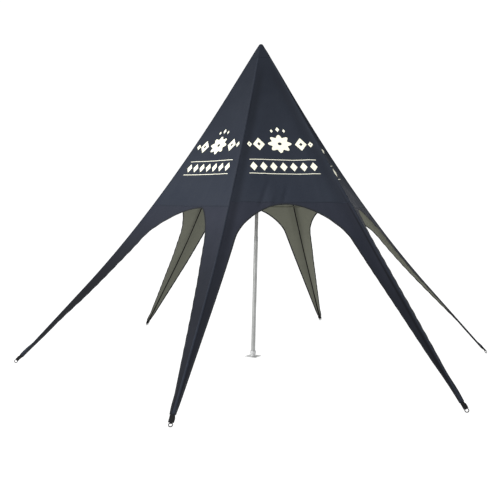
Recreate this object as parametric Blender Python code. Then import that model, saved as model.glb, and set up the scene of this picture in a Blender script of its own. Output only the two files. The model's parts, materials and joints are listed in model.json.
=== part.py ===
"""Single-pole star tent with six legs, modelled at full size in metres, +Z up.

The origin is the middle of the underside of the mast's base plate, on the ground.
Legs are numbered counter-clockwise from the front left one, seen from above.
A ridge line runs from the peak down the middle of each leg to its steel ring, and
the cloth between two ridges is ruled by level straight lines from ridge to ridge.
"""
import math

import bpy
import bmesh
from mathutils import Matrix, Vector

# Ridge lines: bearing of each leg from +X, reach from the mast to the foot, and how
# much of the peak's height comes from the steeper upper part
LEG_BEARINGS = (256.6, 311.7, 7.0, 69.0, 128.6, 191.0)
LEG_REACHES = (3.93, 4.12, 4.19, 4.13, 3.72, 3.91)
LEG_RISES = (1.10, 0.02, 0.90, 0.48, 0.90, 0.94)
PEAK_HEIGHT = 5.290

# Middle and half length of the bend between the two parts, as shares of the reach
BEND_MIDDLE = 0.42
BEND_HALF = 0.30

# How far the whole tent leans towards +X, per metre of height
LEAN = 0.015

# How fast the cloth on the left and right of each ridge widens with height
LEFT_TAPERS = (0.165, 0.115, 0.078, 0.16, 0.115, 0.15)
RIGHT_TAPERS = (0.08, 0.125, 0.115, 0.137, 0.205, 0.15)

# and how much wider it is made between the flat foot and where its two sides stand apart
LEFT_SWELLS = (0.004, 0.010, 0.004, 0.004, 0.004, 0.000)
RIGHT_SWELLS = (0.004, 0.000, 0.004, 0.004, 0.004, 0.056)

# Arches, each from a leg to the next: height of the crown, and its place between the ridges
CROWN_HEIGHTS = (2.61, 2.54, 2.54, 2.54, 2.54, 2.54)
CROWN_SHARES = (0.46, 0.50, 0.50, 0.50, 0.50, 0.66)
ARCH_RISE = 0.50

# Heights along the cloth
RIM_HEIGHT = 5.13
SEAM_HEIGHT = 2.66
LOWER_LEG_HEIGHT = 0.95
FLAT_HEIGHT = 0.10
FLAP_END_HEIGHT = 0.090
STRAP_END_HEIGHT = 0.062

# How far each foot is turned about its leg, in degrees; at 0 the webbing lies level across.
# The cloth lies flat below FLAT_HEIGHT, and its two sides stand apart from these heights on.
FOOT_TURNS = (0.0, 45.0, 50.0, 0.0, 0.0, -70.0)
FOLDED_HEIGHTS = (0.32, 0.38, 0.40, 0.32, 0.32, 0.34)

# Cloth, webbing and binding sizes
CLOTH_DEPTH = 0.0034
FLAP_FOOT_WIDTH = 0.018
BINDING_WIDTH = 0.010
BINDING_THICKNESS = 0.005
STRAP_HALF_WIDTH = 0.024
STRAP_DEPTH = 0.003
GAP = 0.0003

# Foot rings and the webbing loops that hold them
RING_RADIUS = 0.0258
RING_WIRE = 0.0042
LOOP_HALF_WIDTH = 0.011
LOOP_WALL = 0.0025
LOOP_NECK = 0.0115
LOOP_TAIL = 0.050
LOOP_TAIL_HALF = 0.0022
EYE_CLEARANCE = 0.0004

# Mast and its base
PLATE_SIDE = 0.200
PLATE_THICKNESS = 0.008
PLATE_CHAMFER = 0.0015
PLATE_TURN = 59.0
SOCKET_FLARE_RADIUS = 0.062
SOCKET_FLARE_HEIGHT = 0.024
SOCKET_RADIUS = 0.043
COLLAR_RADIUS = 0.049
COLLAR_START = 0.052
COLLAR_END = 0.098
COLLAR_CHAMFER = 0.004
LOWER_TUBE_RADIUS = 0.034
UPPER_TUBE_RADIUS = 0.0295
TUBE_STEP_HEIGHT = 2.05
CAP_BALL_RADIUS = 0.043
CAP_SKIN = 0.003
CAP_HEM_HEIGHT = 4.99
HEAD_FOOT_HEIGHT = 5.06
HEAD_DISH = 0.004

# Fineness
ROOF_ROWS = 11
ROOF_COLUMNS = 4
CROWN_ROWS = 9
ROW_SPACING = 0.008
LEG_ROWS = 6
FOOT_ROWS = 7
ROUND_SIDES = 32
RING_SIDES = 24
WIRE_SIDES = 8
TIP_ANGLES = (32, 48, 64, 78)

LEG_COUNT = len(LEG_BEARINGS)


def remove_everything():
    for item in list(bpy.data.objects):
        bpy.data.objects.remove(item, do_unlink=True)


def material(name, colour, roughness, metallic=0.0):
    """A Principled material of one plain colour."""
    made = bpy.data.materials.new(name)
    made.use_nodes = True
    shader = made.node_tree.nodes["Principled BSDF"]
    shader.inputs["Base Color"].default_value = (*colour, 1.0)
    shader.inputs["Roughness"].default_value = roughness
    shader.inputs["Metallic"].default_value = metallic
    return made


def new_object(name, points, faces, finish):
    """One closed body that leans with the tent, its faces turned outwards."""
    mesh = bpy.data.meshes.new(name)
    mesh.from_pydata([(point.x + LEAN * point.z, point.y, point.z) for point in points], [], faces)
    shape = bmesh.new()
    shape.from_mesh(mesh)
    bmesh.ops.recalc_face_normals(shape, faces=shape.faces)
    shape.to_mesh(mesh)
    shape.free()
    mesh.materials.append(finish)
    made = bpy.data.objects.new(name, mesh)
    bpy.context.scene.collection.objects.link(made)
    return made


def slab(name, upper, lower, finish):
    """A thin body between two grids of points that have the same rows and columns."""
    rows = len(upper)
    columns = len(upper[0])
    points = [point for grid in (upper, lower) for row in grid for point in row]
    below = rows * columns

    def at(row, column):
        return row * columns + column

    faces = []
    for row in range(rows - 1):
        for column in range(columns - 1):
            # every layer is split along the same diagonal, so that layers stay parallel
            corner, opposite = at(row, column), at(row + 1, column + 1)
            for face in ([corner, at(row, column + 1), opposite], [corner, opposite, at(row + 1, column)]):
                faces.append(face)
                faces.append([below + vertex for vertex in reversed(face)])
    border = [at(0, column) for column in range(columns)]
    border += [at(row, columns - 1) for row in range(1, rows)]
    border += [at(rows - 1, column) for column in range(columns - 2, -1, -1)]
    border += [at(row, 0) for row in range(rows - 2, 0, -1)]
    for index, corner in enumerate(border):
        following = border[(index + 1) % len(border)]
        # and every edge from its higher outer corner to the lower inner one
        first, second = sorted((corner, following), key=lambda vertex: (-points[vertex].z, vertex))
        faces.append([first, second, below + second])
        faces.append([first, below + second, below + first])
    return new_object(name, points, faces, finish)


def lofted(name, first_pole, rings, last_pole, finish):
    """A body wrapped over a chain of closed rings, with a pole point at each end."""
    count = len(rings[0])
    points = [first_pole] + [point for ring in rings for point in ring] + [last_pole]
    last = len(points) - 1
    faces = []
    for index in range(count):
        following = (index + 1) % count
        faces.append([0, 1 + index, 1 + following])
        for ring in range(len(rings) - 1):
            upper, lower = 1 + ring * count, 1 + (ring + 1) * count
            if points[upper].z < points[lower].z:
                upper, lower = lower, upper
            # split from the upper ring down to the next point of the lower one, on every layer
            faces.append([upper + index, lower + index, lower + following])
            faces.append([upper + index, lower + following, upper + following])
        start = 1 + (len(rings) - 1) * count
        faces.append([start + following, start + index, last])
    return new_object(name, points, faces, finish)


def closed_chain(name, rings, finish):
    """A body over rings of points, with the last ring joined back to the first."""
    around, through = len(rings), len(rings[0])
    points = [point for ring in rings for point in ring]
    faces = []
    for ring in range(around):
        for side in range(through):
            after, beside = (ring + 1) % around, (side + 1) % through
            faces.append([ring * through + side, after * through + side,
                          after * through + beside, ring * through + beside])
    return new_object(name, points, faces, finish)


def turned(name, profile, finish):
    """A round body about Z from (radius, height) pairs, closed at both ends."""
    rings = [circle(radius, height) for radius, height in profile]
    return lofted(name, Vector((0, 0, profile[0][1])), rings, Vector((0, 0, profile[-1][1])), finish)


def circle(radius, height, sides=ROUND_SIDES):
    turns = [2 * math.pi * index / sides for index in range(sides)]
    return [Vector((radius * math.cos(turn), radius * math.sin(turn), height)) for turn in turns]


def smooth_step(value):
    """0 below 0, 1 above 1, and an S-shaped run between."""
    share = min(max(value, 0.0), 1.0)
    return share * share * (3 - 2 * share)


def bearing_vector(leg):
    turn = math.radians(LEG_BEARINGS[leg])
    return Vector((math.cos(turn), math.sin(turn), 0))


def level_vector(leg):
    """The level direction square to a leg, towards the next leg."""
    return Vector((0, 0, 1)).cross(bearing_vector(leg))


def folded(leg, height):
    """0 where a leg's cloth lies flat at the foot, 1 from where its two sides stand apart."""
    return smooth_step((height - FLAT_HEIGHT) / (FOLDED_HEIGHTS[leg] - FLAT_HEIGHT))


def ridge_radius(leg, height):
    """Distance of a ridge line from the mast's axis at a height.

    The line is straight below the peak and straight above the foot, with a parabolic
    bend between them.
    """
    rise = LEG_RISES[leg]
    fall = PEAK_HEIGHT - rise
    bend_end = BEND_MIDDLE + BEND_HALF
    bend_foot = fall * (1 - bend_end)
    bend_top = fall * (1 - BEND_MIDDLE + BEND_HALF) + rise * BEND_HALF / BEND_MIDDLE
    if height > bend_top:
        share = (PEAK_HEIGHT - height) / (fall + rise / BEND_MIDDLE)
    elif height > bend_foot:
        square = rise / (4 * BEND_HALF * BEND_MIDDLE)
        root = math.sqrt(fall ** 2 + 4 * square * (height - bend_foot))
        share = bend_end - (root - fall) / (2 * square)
    else:
        share = 1 - height / fall
    return LEG_REACHES[leg] * share


def ridge_frame(leg, height):
    """Directions at a ridge: square to it and outwards, and across it to the next leg.

    Above the fold the second one is level; towards the foot both turn with the webbing.
    """
    step = 0.001
    run = ridge_radius(leg, height - step) - ridge_radius(leg, height + step)
    square = (bearing_vector(leg) * 2 * step + Vector((0, 0, run))).normalized()
    level = level_vector(leg)
    turn = math.radians(FOOT_TURNS[leg]) * (1 - folded(leg, height))
    return (square * math.cos(turn) - level * math.sin(turn),
            level * math.cos(turn) + square * math.sin(turn))


def ridge_point(leg, height, depth=0.0):
    """A point at a depth inside the ridge line, measured square to the line."""
    line = bearing_vector(leg) * ridge_radius(leg, height) + Vector((0, 0, height))
    return line - ridge_frame(leg, height)[0] * depth


def chord(leg, side, height, depth=0.0):
    """The level line from a ridge to its neighbour on one side, as start and vector."""
    start = ridge_point(leg, height, depth)
    end = ridge_point((leg + side) % LEG_COUNT, height, depth)
    return start, end - start


def flap_direction(leg, side, height, depth=0.0):
    """Which way a leg's cloth leaves the ridge: along the chord, and flat at the foot."""
    along_chord = chord(leg, side, height, depth)[1].normalized()
    across = ridge_frame(leg, height)[1] * side
    fold = folded(leg, height)
    return (across * (1 - fold) + along_chord * fold).normalized()


def flap_width(leg, side, height):
    """Width of a leg's cloth from its ridge to the hem, measured along the chord.

    It grows evenly from the foot, and from the springing of the arch a quarter ellipse
    carries it to the crown, where it meets the next leg's cloth.
    """
    if side > 0:
        arch, taper, swell, share = leg, RIGHT_TAPERS[leg], RIGHT_SWELLS[leg], CROWN_SHARES[leg]
    else:
        arch, taper, swell, share = leg - 1, LEFT_TAPERS[leg], LEFT_SWELLS[leg], 1 - CROWN_SHARES[leg - 1]
    full = chord(leg, side, height)[1].length * share - GAP
    straight = FLAP_FOOT_WIDTH + swell * folded(leg, height) + taper * height
    rise = 1 - (CROWN_HEIGHTS[arch] - height) / ARCH_RISE
    rise = min(max(rise, 0.0), 1.0)
    return straight + (full - straight) * (1 - math.sqrt(1 - rise * rise))


def flap_point(leg, side, height, width, depth=0.0):
    """A point on a leg's cloth; widths shrink with depth as the chord does."""
    shrink = chord(leg, side, height, depth)[1].length / chord(leg, side, height)[1].length
    return ridge_point(leg, height, depth) + flap_direction(leg, side, height, depth) * width * shrink


def arch_heights():
    """Heights of the rows along every leg, close together where the arches turn."""
    turning = []
    for crown in CROWN_HEIGHTS:
        turning += [crown - ARCH_RISE * (1 - math.cos(math.pi / 2 * step / CROWN_ROWS))
                    for step in range(1, CROWN_ROWS + 1)]
    rows = sorted(set(CROWN_HEIGHTS))
    for height in sorted(turning, reverse=True):
        if min(abs(height - row) for row in rows) > ROW_SPACING:
            rows.append(height)
    rows.sort(reverse=True)
    drop = (rows[-1] - LOWER_LEG_HEIGHT) / LEG_ROWS
    leg = [rows[-1] - drop * step for step in range(1, LEG_ROWS + 1)]
    drop = (LOWER_LEG_HEIGHT - FLAP_END_HEIGHT) / FOOT_ROWS
    foot = [LOWER_LEG_HEIGHT - drop * step for step in range(1, FOOT_ROWS + 1)]
    return rows + leg + foot


def roof_heights():
    """Heights of the rows of a roof panel, from its rim down to the level seam."""
    drop = SEAM_HEIGHT + GAP - CAP_HEM_HEIGHT
    return [RIM_HEIGHT, HEAD_FOOT_HEIGHT] + [CAP_HEM_HEIGHT + drop * row / ROOF_ROWS
                                             for row in range(ROOF_ROWS + 1)]


def roof_panel(leg, finish):
    """Cloth between two ridges, from the peak down to the level seam over the arch."""
    grids = []
    for depth in (0.0, CLOTH_DEPTH):
        grid = []
        for height in roof_heights():
            start, across = chord(leg, 1, height, depth)
            edge = GAP / across.length
            strap = STRAP_HALF_WIDTH / chord(leg, 1, height)[1].length
            middle = [strap + (1 - 2 * strap) * column / ROOF_COLUMNS for column in range(ROOF_COLUMNS + 1)]
            grid.append([start + across * share for share in [edge] + middle + [1 - edge]])
        grids.append(grid)
    return slab(f"roof_panel_{leg + 1}_{(leg + 1) % LEG_COUNT + 1}", *grids, finish)


def leg_flap(leg, side, finish):
    """One half of a leg's cloth, from the level seam to just above the foot."""
    grids = []
    for depth in (0.0, CLOTH_DEPTH):
        grid = []
        for height in [SEAM_HEIGHT] + arch_heights():
            widths = (GAP, STRAP_HALF_WIDTH, flap_width(leg, side, height))
            grid.append([flap_point(leg, side, height, width, depth) for width in widths[::side]])
        grids.append(grid)
    hand = "right" if side > 0 else "left"
    return slab(f"leg_{leg + 1}_{hand}_flap", *grids, finish)


def hem_path(arch):
    """Points and surface normals along the cloth's edge, from one foot over to the next."""
    following = (arch + 1) % LEG_COUNT
    heights = [height for height in arch_heights() if height <= CROWN_HEIGHTS[arch]]
    path = []
    for start, side in ((arch, 1), (following, -1)):
        half = []
        for height in heights:
            width = flap_width(start, side, height)
            outer = flap_point(start, side, height, width)
            inner = flap_point(start, side, height, width, CLOTH_DEPTH)
            half.append(((outer + inner) / 2, (outer - inner).normalized()))
        path.append(half)
    return path[0][::-1] + path[1][1:]


def arch_hem(arch, finish):
    """The binding along the edge of one arch, just beyond the cloth."""
    path = hem_path(arch)
    near, far = [], []
    for index, (point, normal) in enumerate(path):
        before = path[max(index - 1, 0)][0]
        after = path[min(index + 1, len(path) - 1)][0]
        out = (after - before).cross(normal).normalized()
        lift = normal * BINDING_THICKNESS / 2
        edge = point + out * GAP * 1.5
        rim = point + out * (GAP * 1.5 + BINDING_WIDTH)
        near.append([edge + lift, rim + lift])
        far.append([edge - lift, rim - lift])
    return slab(f"arch_hem_{arch + 1}_{(arch + 1) % LEG_COUNT + 1}", near, far, finish)


def ridge_strap(leg, finish):
    """Webbing folded into the inside of a ridge, from the peak to the foot."""
    heights = roof_heights()[2:] + [SEAM_HEIGHT] + arch_heights() + [STRAP_END_HEIGHT]
    grids = []
    for depth in (CLOTH_DEPTH + GAP, CLOTH_DEPTH + GAP + STRAP_DEPTH):
        grid = []
        for height in heights:
            grid.append([flap_point(leg, -1, height, STRAP_HALF_WIDTH, depth),
                         ridge_point(leg, height, depth),
                         flap_point(leg, 1, height, STRAP_HALF_WIDTH, depth)])
        grids.append(grid)
    return slab(f"ridge_strap_{leg + 1}", *grids, finish)


def foot_frame(leg):
    """Ring centre and three directions at a foot: down the leg, across the webbing, square to both."""
    square, across = ridge_frame(leg, 0.0)
    down = (ridge_point(leg, 0.0) - ridge_point(leg, 0.1)).normalized()
    depth = CLOTH_DEPTH + 2 * GAP + STRAP_DEPTH + LOOP_TAIL_HALF
    ring_height = RING_WIRE + RING_RADIUS * math.hypot(down.z, across.z)
    line_height = ring_height + depth * square.z
    return ridge_point(leg, line_height, depth), down, across, square


def foot_ring(leg, finish):
    """Round steel ring in the plane of the webbing's end, its lowest point on the ground."""
    centre, down, across, square = foot_frame(leg)
    rings = []
    for major in range(RING_SIDES):
        turn = 2 * math.pi * major / RING_SIDES
        out = down * math.cos(turn) + across * math.sin(turn)
        rings.append([])
        for minor in range(WIRE_SIDES):
            roll = 2 * math.pi * minor / WIRE_SIDES
            rings[-1].append(centre + out * (RING_RADIUS + RING_WIRE * math.cos(roll))
                             + square * RING_WIRE * math.sin(roll))
    return closed_chain(f"foot_ring_{leg + 1}", rings, finish)


def foot_loop(leg, finish):
    """Narrow webbing that lies under the strap and turns back round the ring's wire."""
    centre, down, sideways, square = foot_frame(leg)
    wire = centre - down * RING_RADIUS
    eye = RING_WIRE + EYE_CLEARANCE
    sway = RING_RADIUS - math.sqrt(RING_RADIUS ** 2 - LOOP_HALF_WIDTH ** 2) + 2 * GAP
    outside = eye + LOOP_WALL
    front = [math.radians(-90 + 22.5 * step) for step in range(9)]
    inner = [(sway + eye * math.cos(turn), eye * math.sin(turn)) for turn in front]
    outer = [(sway + outside * math.cos(turn), outside * math.sin(turn)) for turn in front]
    back = [math.radians(105 + 30 * step) for step in range(6)]
    inner += [(eye * math.cos(turn), eye * math.sin(turn)) for turn in back]
    for side in (1, -1):
        bend = [(-eye, side * outside), (-LOOP_NECK, side * LOOP_TAIL_HALF), (-LOOP_TAIL, side * LOOP_TAIL_HALF)]
        outer += bend if side > 0 else bend[::-1]
    count = len(outer)
    points = []
    for across in (-LOOP_HALF_WIDTH, LOOP_HALF_WIDTH):
        for outline in (outer, inner):
            points += [wire + down * along + square * up + sideways * across for along, up in outline]
    faces = []
    for index in range(count):
        after = (index + 1) % count
        for face in ([0, 0, 1, 1], [2, 2, 3, 3], [0, 0, 2, 2], [1, 1, 3, 3]):
            corners = [index, after, after, index]
            faces.append([part * count + corner for part, corner in zip(face, corners)])
    return new_object(f"foot_loop_{leg + 1}", points, faces, finish)


def peak_ring(height, depth, steps=3):
    """A ring of points on the six-sided peak at one height and depth."""
    ring = []
    for leg in range(LEG_COUNT):
        start, across = chord(leg, 1, height, depth)
        ring += [start + across * step / steps for step in range(steps)]
    return ring


def ball_ring(ring, radius, centre_height, rise_angle):
    """The circle on a ball at an angle above its middle, with points in line with a ring's."""
    flat = radius * math.cos(rise_angle)
    height = centre_height + radius * math.sin(rise_angle)
    return [Vector((point.x, point.y, 0)).normalized() * flat + Vector((0, 0, height)) for point in ring]


def ball_centre():
    """Height of the ball that fits under the ridge lines at the peak."""
    steepest = min(ridge_radius(leg, RIM_HEIGHT) for leg in range(LEG_COUNT)) / (PEAK_HEIGHT - RIM_HEIGHT)
    return PEAK_HEIGHT - CAP_BALL_RADIUS / math.sin(math.atan(steepest))


def peak_skin(heights, depth, radius):
    """Rings up the six-sided peak and over the round tip, bottom to top."""
    rings = [peak_ring(height, depth) for height in heights]
    return rings + [ball_ring(rings[-1], radius, ball_centre(), math.radians(angle)) for angle in TIP_ANGLES]


def peak_cap(finish):
    """Skin over the tips of the six panels and the round top of the mast."""
    heights = (CAP_HEM_HEIGHT, HEAD_FOOT_HEIGHT, RIM_HEIGHT)
    outer = peak_skin(heights, -GAP - CAP_SKIN, CAP_BALL_RADIUS)
    inner = peak_skin(heights, -GAP, CAP_BALL_RADIUS - CAP_SKIN)
    top = Vector((0, 0, ball_centre() + CAP_BALL_RADIUS))
    under = Vector((0, 0, ball_centre() + CAP_BALL_RADIUS - CAP_SKIN))
    return lofted("peak_cap", top, outer[::-1] + inner, under, finish)


def mast_head(finish):
    """Solid head on the mast that spreads the load into the panels."""
    depth = CLOTH_DEPTH + GAP
    radius = CAP_BALL_RADIUS - CAP_SKIN - 1.5 * GAP
    skin = peak_skin((HEAD_FOOT_HEIGHT, RIM_HEIGHT), depth, radius)
    top = Vector((0, 0, ball_centre() + radius))
    return lofted("mast_head", top, skin[::-1], Vector((0, 0, HEAD_FOOT_HEIGHT - HEAD_DISH)), finish)


def base_plate(finish):
    """Square plate on the ground, its edges chamfered."""
    bpy.ops.mesh.primitive_cube_add(size=1)
    plate = bpy.context.object
    plate.name = "base_plate"
    plate.data.name = "base_plate"
    plate.data.transform(Matrix.Diagonal((PLATE_SIDE, PLATE_SIDE, PLATE_THICKNESS, 1)))
    plate.location.z = PLATE_THICKNESS / 2
    plate.rotation_euler.z = math.radians(PLATE_TURN)
    plate.data.materials.append(finish)
    bevel = plate.modifiers.new("chamfered_edges", "BEVEL")
    bevel.width = PLATE_CHAMFER
    bevel.segments = 1


def base_socket(finish):
    """Flared socket with a collar, welded on the plate round the foot of the mast."""
    bore = LOWER_TUBE_RADIUS + GAP
    floor = PLATE_THICKNESS + GAP
    flare = SOCKET_FLARE_HEIGHT
    profile = [(SOCKET_FLARE_RADIUS, floor), (SOCKET_FLARE_RADIUS, floor + flare / 6),
               (SOCKET_RADIUS + flare / 6, floor + flare * 0.6), (SOCKET_RADIUS, floor + flare),
               (SOCKET_RADIUS, COLLAR_START), (COLLAR_RADIUS, COLLAR_START + COLLAR_CHAMFER / 2),
               (COLLAR_RADIUS, COLLAR_END - COLLAR_CHAMFER), (COLLAR_RADIUS - COLLAR_CHAMFER, COLLAR_END),
               (bore, COLLAR_END), (bore, floor)]
    return closed_chain("base_socket", [circle(radius, height) for radius, height in profile], finish)


def poles(lower_finish, upper_finish):
    """The two tubes of the mast; the upper one starts where the lower one ends."""
    floor = PLATE_THICKNESS + GAP
    step = TUBE_STEP_HEIGHT
    inset = 0.001
    turned("pole_lower", [(LOWER_TUBE_RADIUS - inset, floor), (LOWER_TUBE_RADIUS, floor + inset),
                          (LOWER_TUBE_RADIUS, step - 4 * inset), (UPPER_TUBE_RADIUS + inset, step)],
           lower_finish)
    head = HEAD_FOOT_HEIGHT - HEAD_DISH
    turned("pole_upper", [(UPPER_TUBE_RADIUS, step + GAP), (UPPER_TUBE_RADIUS, head - GAP)], upper_finish)


def round_off(name_starts):
    """Smooth shading on the round pieces, with their edges kept sharp."""
    for item in bpy.data.objects:
        if item.name.startswith(name_starts):
            item.data.shade_smooth()
            item.data.set_sharp_from_angle(angle=math.radians(40))


def build():
    remove_everything()
    cloth = material("navy_cloth", (0.030, 0.037, 0.052), 0.75)
    binding = material("dark_binding", (0.014, 0.016, 0.018), 0.8)
    webbing = material("black_webbing", (0.008, 0.008, 0.008), 0.85)
    steel = material("bright_steel", (0.62, 0.62, 0.60), 0.3, 1.0)
    tube = material("brushed_aluminium", (0.60, 0.60, 0.58), 0.45, 0.8)
    upper_tube = material("shaded_aluminium", (0.42, 0.42, 0.40), 0.45, 0.8)
    plate = material("galvanised_steel", (0.58, 0.59, 0.58), 0.5, 0.7)
    for leg in range(LEG_COUNT):
        roof_panel(leg, cloth)
        leg_flap(leg, -1, cloth)
        leg_flap(leg, 1, cloth)
        arch_hem(leg, binding)
        ridge_strap(leg, webbing)
        foot_loop(leg, webbing)
        foot_ring(leg, steel)
    base_plate(plate)
    base_socket(plate)
    poles(tube, upper_tube)
    mast_head(plate)
    peak_cap(cloth)
    round_off(("foot_ring", "pole_", "base_socket", "peak_cap", "mast_head"))


build()
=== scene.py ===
import json
import math

import bmesh
import bpy
import numpy as np
from mathutils import Matrix, Vector

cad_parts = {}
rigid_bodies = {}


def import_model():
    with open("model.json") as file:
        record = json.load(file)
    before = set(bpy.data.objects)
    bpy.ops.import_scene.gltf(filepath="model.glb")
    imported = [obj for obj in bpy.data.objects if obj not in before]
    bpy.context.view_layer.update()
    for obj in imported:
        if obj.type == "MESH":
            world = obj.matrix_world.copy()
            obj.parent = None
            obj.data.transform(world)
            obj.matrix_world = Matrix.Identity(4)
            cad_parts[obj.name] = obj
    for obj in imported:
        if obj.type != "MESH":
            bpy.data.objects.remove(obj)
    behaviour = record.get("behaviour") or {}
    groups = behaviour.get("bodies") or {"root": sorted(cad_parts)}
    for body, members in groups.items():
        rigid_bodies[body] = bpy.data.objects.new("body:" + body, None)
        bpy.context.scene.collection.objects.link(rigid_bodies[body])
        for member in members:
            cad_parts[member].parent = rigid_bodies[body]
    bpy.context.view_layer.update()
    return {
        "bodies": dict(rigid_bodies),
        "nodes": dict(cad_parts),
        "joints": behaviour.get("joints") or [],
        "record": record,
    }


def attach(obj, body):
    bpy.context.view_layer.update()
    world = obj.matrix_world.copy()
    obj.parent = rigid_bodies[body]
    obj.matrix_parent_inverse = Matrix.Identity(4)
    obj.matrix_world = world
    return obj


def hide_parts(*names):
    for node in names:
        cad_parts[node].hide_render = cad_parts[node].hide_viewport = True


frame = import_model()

print("frame loaded")

# Shape of the canopy, in metres and degrees: six ridges run from the peak to the feet,
# and the cloth between two ridges is ruled by level lines from one to the other.
# Six values in a row are for legs 1 to 6, or for arches 1_2 to 6_1.
tent = {
    "bearings": (256.6, 311.7, 7.0, 69.0, 128.6, 191.0),
    "reaches": (3.93, 4.12, 4.19, 4.13, 3.72, 3.91),
    "rises": (1.10, 0.02, 0.90, 0.48, 0.90, 0.94),  # how far below the peak the foot's line ends
    "peak": 5.290,
    "bendMiddle": 0.42,  # where a ridge bends, as a share of its reach
    "bendHalf": 0.30,
    "lean": 0.015,
    "leftTapers": (0.165, 0.115, 0.085, 0.16, 0.115, 0.15),
    "rightTapers": (0.08, 0.125, 0.098, 0.137, 0.205, 0.15),
    "crowns": (2.61, 2.54, 2.54, 2.54, 2.54, 2.54),
    "crownShares": (0.46, 0.50, 0.50, 0.50, 0.50, 0.66),
    "archRise": 0.50,
    "leftFoot": (0.018, 0.030, 0.034, 0.018, 0.018, 0.016),  # width at the ground
    "rightFoot": (0.018, 0.016, 0.016, 0.018, 0.018, 0.034),
    "leftSwells": (0.004, 0.000, 0.025, 0.004, 0.004, -0.006),
    "rightSwells": (0.004, 0.000, 0.000, 0.004, 0.004, 0.036),
    "narrowTo": (0.01, 0.60, 1.20, 0.01, 0.01, 0.90),
    "footTurns": (0.0, 45.0, 50.0, 0.0, 0.0, -70.0),
    "leftFolded": (0.32, 0.70, 1.50, 0.32, 0.32, 0.50),  # height at which the sides are apart
    "rightFolded": (0.32, 0.50, 0.35, 0.32, 0.32, 1.10),
    "flatBelow": 0.10,
    "rim": 5.13,
    "clothEnd": 0.090,
}
legs = range(6)
upwards = np.array((0.0, 0.0, 1.0))


def nextLeg(leg):
    return (leg + 1) % 6


def pairName(sector):
    # the two legs beside a panel or an arch, as in 1_2
    return f"{sector + 1}_{nextLeg(sector) + 1}"


def smoothStep(value):
    # 0 below 0, 1 above 1, and 3t^2 - 2t^3 between
    share = np.clip(value, 0.0, 1.0)
    return share * share * (3 - 2 * share)


def between(z, low, rise, high, fall):
    # a step up over rise from the low height, times a step down over fall to the high one
    return smoothStep((z - low) / rise) * smoothStep((high - z) / fall)


def bell(offset, width):
    # e to the power of minus the square of offset over width
    return np.exp(-(offset / width) ** 2)


def wholeTurn(count):
    # angles at even steps round a circle
    return np.linspace(0, 2 * math.pi, count, endpoint=False)


def around(radius, turn, height):
    # points from a radius, an angle and a height
    flat = radius * np.cos(turn), radius * np.sin(turn)
    return np.stack(np.broadcast_arrays(*flat, height), -1)


def unit(vectors):
    # each vector over its own length
    return vectors / np.linalg.norm(vectors, axis=-1, keepdims=True)


def bearing(leg):
    # the level direction from the mast to a foot
    turn = math.radians(tent["bearings"][leg])
    return np.array((math.cos(turn), math.sin(turn), 0.0))


def sideValue(name, leg, side):
    return tent[("right" if side > 0 else "left") + name][leg]


def folded(leg, side, z):
    # 0 where a leg's cloth lies flat at the foot, 1 from where its two sides stand apart
    top = sideValue("Folded", leg, side)
    return smoothStep((z - tent["flatBelow"]) / (top - tent["flatBelow"]))


def ridgeRadius(leg, z):
    # distance of a ridge from the mast: straight at the top and at the foot, a parabola between
    middle, half, rise = tent["bendMiddle"], tent["bendHalf"], tent["rises"][leg]
    fall = tent["peak"] - rise
    bendFoot = fall * (1 - middle - half)
    bendTop = fall * (1 - middle + half) + rise * half / middle
    square = rise / (4 * half * middle)
    root = np.sqrt(fall ** 2 + 4 * square * np.maximum(z - bendFoot, 0))
    curved = middle + half - (root - fall) / (2 * square)
    share = np.where(z > bendFoot, curved, 1 - z / fall)
    share = np.where(z > bendTop, (tent["peak"] - z) / (fall + rise / middle), share)
    return tent["reaches"][leg] * share


def ridgePoint(leg, z):
    # out along the bearing by the ridge's radius, and up by the height
    z = np.asarray(z, float)
    return bearing(leg) * ridgeRadius(leg, z)[..., None] + upwards * z[..., None]


def chord(leg, side, z):
    # the level line from a ridge to its neighbour on that side: start and vector
    start = ridgePoint(leg, z)
    return start, ridgePoint((leg + side) % 6, z) - start


def chordLength(leg, side, z):
    return np.linalg.norm(chord(leg, side, z)[1], axis=-1)


def archOf(leg, side):
    # the arch, and the panel over it, on that side of a leg
    return leg if side > 0 else (leg - 1) % 6


def middleWidth(leg, side, z):
    # from the ridge to the line below which the arch opens
    arch = archOf(leg, side)
    share = tent["crownShares"][arch] if side > 0 else 1 - tent["crownShares"][arch]
    return chordLength(leg, side, z) * share


def flapWidth(leg, side, z):
    # a narrow foot, an even taper above it, then a quarter ellipse out to the crown of the arch
    start, swell, taper = (sideValue(name, leg, side) for name in ("Foot", "Swells", "Tapers"))
    full = middleWidth(leg, side, z)
    swollen = start + swell * folded(leg, side, z)
    straight = swollen + taper * z * smoothStep(z / tent["narrowTo"][leg])
    rise = np.clip(1 - (tent["crowns"][archOf(leg, side)] - z) / tent["archRise"], 0, 1)
    return straight + (full - straight) * (1 - np.sqrt(1 - rise * rise))


def ridgeFrame(leg, side, z):
    # outwards and square to a ridge, and across it; towards the foot both turn with the webbing
    z, step = np.asarray(z, float), 0.001
    run = ridgeRadius(leg, z - step) - ridgeRadius(leg, z + step)
    square = unit(bearing(leg) * 2 * step + upwards * run[..., None])
    level = np.cross(upwards, bearing(leg))
    turn = (math.radians(tent["footTurns"][leg]) * (1 - folded(leg, side, z)))[..., None]
    out = square * np.cos(turn) - level * np.sin(turn)
    return out, level * np.cos(turn) + square * np.sin(turn)


def flatPoint(leg, side, z, width):
    # along the chord from the ridge, and flat across the leg near the foot
    start, across = chord(leg, side, z)
    flat = ridgeFrame(leg, side, z)[1] * side
    fold = folded(leg, side, z)[..., None]
    return start + unit(flat * (1 - fold) + unit(across) * fold) * width[..., None]


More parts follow.
